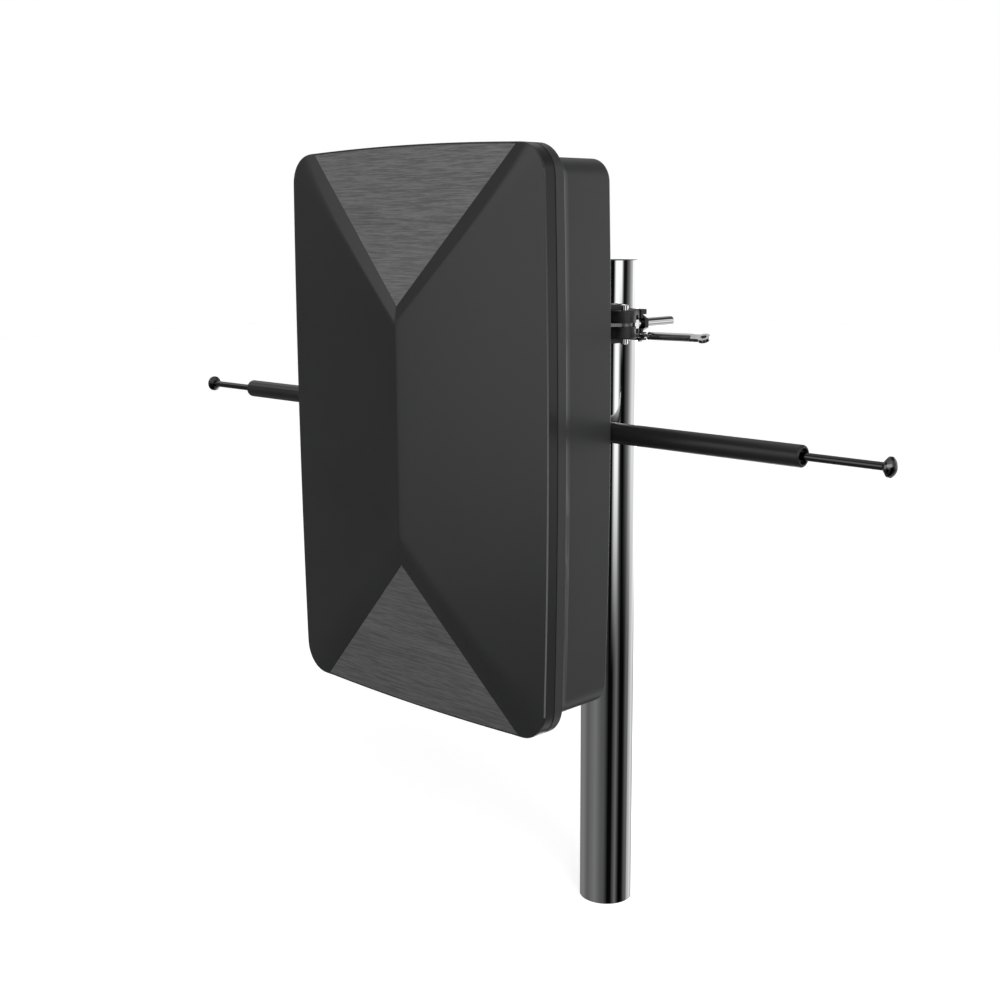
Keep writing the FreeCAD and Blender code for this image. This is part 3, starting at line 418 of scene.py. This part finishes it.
class Outline:
    """Rectangle with bowed sides and round corners, as arcs that meet without a kink."""

    def __init__(self):
        half_w = PANEL_W / 2
        half_h = PANEL_H / 2
        corner_x = half_w - SIDE_BOW
        corner_z = half_h - END_BOW
        self.side_r = (corner_z ** 2 + SIDE_BOW ** 2) / (2 * SIDE_BOW)
        self.end_r = (corner_x ** 2 + END_BOW ** 2) / (2 * END_BOW)
        self.side_c = np.array((half_w - self.side_r, 0.0))
        self.end_c = np.array((0.0, half_h - self.end_r))
        self.corner_c = self.corner_centre()
        low = self.corner_c - self.side_c
        high = self.corner_c - self.end_c
        self.low = math.atan2(low[1], low[0])
        self.high = math.atan2(high[1], high[0])

    def corner_centre(self):
        """Centre of the corner's arc, which touches the side's and the end's arcs from inside."""
        a = self.side_r - CORNER_R
        b = self.end_r - CORNER_R
        gap = self.end_c - self.side_c
        span = np.hypot(*gap)
        along = (a * a - b * b + span * span) / (2 * span)
        across = math.sqrt(a * a - along * along)
        unit = gap / span
        foot = self.side_c + along * unit
        turned = np.array((-unit[1], unit[0]))
        return max((foot + across * turned, foot - across * turned), key=sum)

    def points(self, side_steps, corner_steps, end_steps):
        """Centre, radius and direction of each boundary point, anticlockwise from the right middle."""
        quarter = []
        for i in range(side_steps):
            quarter.append((self.side_c, self.side_r, self.low * i / side_steps))
        for i in range(corner_steps):
            quarter.append((self.corner_c, CORNER_R, self.low + (self.high - self.low) * i / corner_steps))
        for i in range(end_steps + 1):
            quarter.append((self.end_c, self.end_r, self.high + (math.pi / 2 - self.high) * i / end_steps))
        first = [(c[0], c[1], r, math.cos(t), math.sin(t)) for c, r, t in quarter]
        second = [(-cx, cz, r, -dx, dz) for cx, cz, r, dx, dz in reversed(first[:-1])]
        upper = first + second
        lower = [(cx, -cz, r, dx, -dz) for cx, cz, r, dx, dz in reversed(upper[1:-1])]
        return np.array(upper + lower)


def plane(a, b, c):
    """Y of a plane through three points, as a function of x and z."""
    a, b, c = (np.array(p, float) for p in (a, b, c))
    n = np.cross(b - a, c - a)
    return lambda x, z: a[1] - (n[0] * (x - a[0]) + n[2] * (z - a[2])) / n[1]


# Planes of the upper right strip and of the upper inlay. The others mirror them
RIDGE_END = (0.0, -RIDGE, OUTER_APEX)
APEX = (0.0, -INLAY_APEX_PROUD, INLAY_APEX)
CORNER = (INLAY_CORNER_X, 0.0, INLAY_CORNER_Z)
STRIP = plane(RIDGE_END, APEX, CORNER)
TRIANGLE = plane(APEX, CORNER, (-INLAY_CORNER_X, 0.0, INLAY_CORNER_Z))


def front_y(x, z):
    """Depth of the cover's front surface: facets with a soft ridge, cut by the two recesses."""
    facet = -RIDGE + FACET_SLOPE * (np.sqrt(x * x + RIDGE_SOFT ** 2) - RIDGE_LIFT * RIDGE_SOFT)
    ax, az = np.abs(x), np.abs(z)
    recess = np.minimum(TRIANGLE(ax, az) + INLAY_SINK, STRIP(ax, az))
    narrow = np.where(z > 0, BEVEL_SOFT_TOP, BEVEL_SOFT_BOTTOM)
    soft = narrow + BEVEL_SOFT_GAIN * (ax / INLAY_CORNER_X) ** BEVEL_SOFT_POWER
    return smooth_max(facet, recess, soft)


def front_normal(x, z):
    """Outward normals of the front surface, from its slopes."""
    step = NORMAL_STEP
    slope_x = (front_y(x + step, z) - front_y(x - step, z)) / (2 * step)
    slope_z = (front_y(x, z + step) - front_y(x, z - step)) / (2 * step)
    n = np.stack((slope_x, -np.ones_like(x), slope_z), axis=1)
    return n / np.linalg.norm(n, axis=1, keepdims=True)


def cover_rings(edge):
    """Rings of points and normals, from inside round the rim to the front, and the place of the chamfer."""
    cx, cz, radius, dx, dz = edge.T
    side = np.stack((dx, np.zeros_like(dx), dz), axis=1)
    draft = RIM_DRAFT * dx * dx
    reach = RIM_END_SHARE + (1.0 - RIM_END_SHARE) * dx * dx
    # Zero normals are left to the mesh
    auto = np.zeros_like(side)
    rings = []

    def inward(inset):
        return cx + (radius - inset) * dx, cz + (radius - inset) * dz

    def ring(x, y, z, normals):
        rings.append((np.stack((x, np.broadcast_to(y, x.shape), z), axis=1), normals))

    def front_ring(x, z):
        ring(x, front_y(x, z), z, front_normal(x, z))

    # Inner face and the rim's back
    x, z = inward(COVER_WALL + SEAL_INSET)
    for share in INNER_SHARES:
        ring(x * share, front_y(x * share, z * share) + COVER_WALL, z * share, auto)
    ring(x, RIM_DEPTH, z, auto)
    x, z = inward(RIM_BACK_EDGE)
    ring(x, RIM_DEPTH, z, auto)

    # Rim's wall
    tilted = np.stack((dx, -draft / (RIM_DEPTH - RIM_SIDE), dz), axis=1)
    tilted /= np.linalg.norm(tilted, axis=1, keepdims=True)
    x, z = inward(0.0)
    ring(x, RIM_DEPTH - RIM_BACK_EDGE, z, tilted)
    x, z = inward(draft)
    ring(x, front_y(x, z) + RIM_SIDE * reach, z, tilted)

    # Rim's chamfer
    chamfer = len(rings)
    for across, along, lean in RIM_PROFILE:
        x, z = inward(draft + RIM_FRONT * reach * across)
        turn = math.radians(lean)
        normals = side * math.cos(turn) + front_normal(x, z) * math.sin(turn)
        ring(x, front_y(x, z) + RIM_SIDE * reach * along, z, normals)

    # Front
    for inset in EDGE_INSETS:
        front_ring(*inward(inset))
    x, z = inward(EDGE_INSETS[-1])
    for i in range(1, FRONT_RINGS):
        share = 1.0 - i / FRONT_RINGS
        front_ring(x * share, z * share)
    return rings, chamfer


def front_cover():
    """Cover as a closed mesh of rings, with a painted highlight on its chamfer at the long sides."""
    edge = Outline().points(SIDE_STEPS, CORNER_STEPS, END_STEPS)
    _, _, _, dx, _ = edge.T
    count = len(edge)
    rings, chamfer = cover_rings(edge)
    zero = np.zeros(1)
    middle = np.stack((zero, front_y(zero, zero), zero), axis=1)
    forward = np.array([[0.0, -1.0, 0.0]])
    verts = np.concatenate([points for points, _ in rings] + [middle])
    normals = np.concatenate([directions for _, directions in rings] + [forward])
    faces = []
    last = (len(rings) - 1) * count
    for a in range(0, last, count):
        b = a + count
        for i in range(count):
            j = (i + 1) % count
            faces.append((a + i, a + j, b + j, b + i))
    faces += [(last + i, last + (i + 1) % count, len(verts) - 1) for i in range(count)]
    faces.append(tuple(reversed(range(count))))
    mesh = bpy.data.meshes.new("soft_front_cover")
    mesh.from_pydata(((verts + PANEL_AT) * MM).tolist(), [], faces)
    mesh.polygons.foreach_set("use_smooth", [True] * len(mesh.polygons))
    # Chamfer faces at the long sides take the painted highlight material
    for i in range(count):
        mesh.polygons[chamfer * count + i].material_index = int(abs(dx[i]) > PAINTED_HIGHLIGHT_SIDE)
    mesh.update()
    mesh.normals_split_custom_set_from_vertices(normals.tolist())
    piece = bpy.data.objects.new("soft_front_cover", mesh)
    scene.collection.objects.link(piece)
    mesh.materials.append(MATERIALS["black_plastic"])
    mesh.materials.append(MATERIALS["painted_highlight_edge"])
    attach(piece, "antenna")
    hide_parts("front_cover")


# Light

# Studio below the lowest band: azimuth in degrees and light
STUDIO_BASE = (
    (-180, 0.2), (-170, 0.21), (-140, 0.11), (-101, 0.18), (-77, 0.1), (-62, 0.08), (-52, 0.03),
    (-45, 0.002), (-30, 0.003), (-18, 0.09), (-11, 0.15), (-4, 0.06), (4, 0.003), (18, 0.001),
    (26, 0.016), (33, 0.08), (45, 0.16), (58, 0.36), (74, 0.76), (84, 0.62), (94, 0.42), (98, 0.6),
    (104, 1.8), (132, 1.8), (139, 0.2), (180, 0.2),
)

# Bands of the studio upwards: sines of the elevations between which a band takes over, then its light
STUDIO_BANDS = (
    ((-0.31, -0.13), (
        (-180, 0.13), (-131, 0.13), (-119, 1.25), (-88, 1.0), (-76, 0.4), (-62, 0.09), (-52, 0.02),
        (-44, 0.003), (-39, 0.003), (-33, 0.6), (-28, 1.1), (-17, 1.1), (-11, 0.3), (-5, 0.006),
        (8, 0.001), (14, 0.027), (24, 0.1), (30, 0.14), (36, 0.3), (44, 0.75), (51, 1.05), (58, 0.8),
        (70, 0.8), (78, 1.2), (85, 2.1), (112, 2.4), (122, 0.3), (180, 0.13),
    )),
    ((-0.1, -0.03), (
        (-180, 0.14), (-130, 0.16), (-119, 1.35), (-88, 1.3), (-76, 0.5), (-62, 0.1), (-50, 0.003),
        (-37, 0.003), (-33, 0.5), (-29, 1.1), (-5, 1.1), (-1, 0.4), (4, 0.01), (16, 0.004), (21, 0.06),
        (29, 0.13), (35, 0.26), (41, 0.55), (47, 0.8), (58, 1.1), (66, 1.1), (75, 1.3), (82, 2.3),
        (112, 2.5), (122, 0.3), (180, 0.14),
    )),
    ((0.015, 0.06), (
        (-180, 0.18), (-142, 0.18), (-127, 1.2), (-95, 1.2), (-75, 0.8), (-55, 0.3), (-44, 0.6),
        (-36, 2.8), (4, 2.8), (14, 0.6), (30, 0.4), (50, 0.4), (60, 0.9), (95, 1.2), (112, 0.25),
        (146, 0.15), (160, 0.8), (180, 0.18),
    )),
    ((0.12, 0.18), (
        (-180, 0.18), (-140, 0.15), (-132, 1.6), (-126, 1.4), (-95, 1.2), (-75, 0.8), (-55, 0.3),
        (-44, 0.6), (-36, 2.6), (4, 2.6), (14, 0.6), (30, 0.4), (50, 0.4), (60, 0.9), (95, 1.2),
        (112, 0.25), (146, 0.15), (160, 0.8), (180, 0.18),
    )),
    ((0.38, 0.45), (
        (-180, 0.3), (-172, 0.4), (-166, 1.7), (-156, 1.5), (-147, 0.1), (-90, 0.1), (-55, 0.5),
        (-30, 0.8), (20, 0.8), (40, 0.3), (55, 0.05), (95, 0.05), (115, 0.4), (150, 0.8), (166, 1.0),
        (174, 0.4), (180, 0.3),
    )),
)
OVERHEAD = (0.5, 0.5, 0.5)
OVERHEAD_HEIGHTS = (0.68, 0.8)

# Lamps: name, place, width and height in metres, and watts. All face one point of the object
LAMPS = (
    ("key", (1.6, -1.2, 1.9), (1.4, 1.4), 24.0),
    ("fill", (-1.6, -1.6, 0.4), (1.6, 0.7), 11.0),
)
LAMP_TARGET = (-0.1, -0.1, 0.4)

# Floor: half its width in metres, its grey, and how much it glows for the camera
FLOOR_REACH = 6.0
FLOOR_GREY = 0.8
FLOOR_ROUGHNESS = 0.9
FLOOR_GLOW = 0.55
WHITE = (1.0, 1.0, 1.0, 1.0)


def studio_ramp(tree, turn, stops):
    """Light of one band by azimuth, where turn goes from 0 to 1 round the object."""
    ramp = tree.add("ShaderNodeValToRGB")
    elements = ramp.color_ramp.elements
    while len(elements) < len(stops):
        elements.new(0.5)
    for element, (angle, level) in zip(elements, stops):
        element.position = (angle + 180.0) / 360.0
        element.color = (level, level, level, 1.0)
    tree.link(turn, ramp.inputs["Fac"])
    return ramp.outputs["Color"]


def make_world():
    """Studio of soft panels and dark gaps round the object. The camera itself sees white."""
    world = bpy.data.worlds.new("studio")
    scene.world = world
    world.use_nodes = True
    tree = Tree(world.node_tree)
    place = tree.add("ShaderNodeTexCoord")
    split = tree.add("ShaderNodeSeparateXYZ")
    tree.link(place.outputs["Generated"], split.inputs[0])
    x, y, z = split.outputs
    turn = tree.math("ADD", tree.math("DIVIDE", tree.math("ARCTAN2", y, x), 2 * math.pi), 0.5)
    around = studio_ramp(tree, turn, STUDIO_BASE)
    for heights, stops in STUDIO_BANDS:
        around = tree.mix(tree.range(z, *heights), around, studio_ramp(tree, turn, stops))
    above = tree.mix(tree.range(z, *OVERHEAD_HEIGHTS), around, OVERHEAD)
    studio = tree.add("ShaderNodeBackground")
    tree.link(above, studio.inputs["Color"])
    white = tree.add("ShaderNodeBackground")
    white.inputs["Color"].default_value = WHITE
    path = tree.add("ShaderNodeLightPath")
    seen = tree.math("MAXIMUM", path.outputs["Is Camera Ray"], path.outputs["Is Transmission Ray"])
    both = tree.add("ShaderNodeMixShader")
    tree.link(seen, both.inputs[0])
    tree.link(studio.outputs[0], both.inputs[1])
    tree.link(white.outputs[0], both.inputs[2])
    output = tree.add("ShaderNodeOutputWorld")
    tree.link(both.outputs[0], output.inputs["Surface"])


def area_light(name, at, size, power):
    """Soft lamp that mirror reflections don't show."""
    lamp = bpy.data.lights.new(name, "AREA")
    lamp.shape = "RECTANGLE"
    lamp.size, lamp.size_y = size
    lamp.energy = power
    piece = bpy.data.objects.new(name, lamp)
    piece.location = at
    piece.rotation_euler = (Vector(LAMP_TARGET) - Vector(at)).to_track_quat("-Z", "Y").to_euler()
    piece.visible_glossy = False
    scene.collection.objects.link(piece)


def make_floor():
    """Pale floor that keeps the object's shadow, and glows a little for the camera alone."""
    corners = [(x * FLOOR_REACH, y * FLOOR_REACH, 0.0) for x, y in ((-1, -1), (1, -1), (1, 1), (-1, 1))]
    mesh = bpy.data.meshes.new("floor")
    mesh.from_pydata(corners, [], [(0, 1, 2, 3)])
    floor = bpy.data.objects.new("floor", mesh)
    scene.collection.objects.link(floor)
    made, tree, shader = material("pale_floor")
    shader.inputs["Base Color"].default_value = (FLOOR_GREY, FLOOR_GREY, FLOOR_GREY, 1.0)
    shader.inputs["Roughness"].default_value = FLOOR_ROUGHNESS
    path = tree.add("ShaderNodeLightPath")
    glow = tree.math("MULTIPLY", path.outputs["Is Camera Ray"], FLOOR_GLOW)
    shader.inputs["Emission Color"].default_value = WHITE
    tree.link(glow, shader.inputs["Emission Strength"])
    mesh.materials.append(made)
    floor.visible_glossy = False


make_camera()
make_world()
make_floor()
for lamp_values in LAMPS:
    area_light(*lamp_values)
dress_nodes()
front_cover()
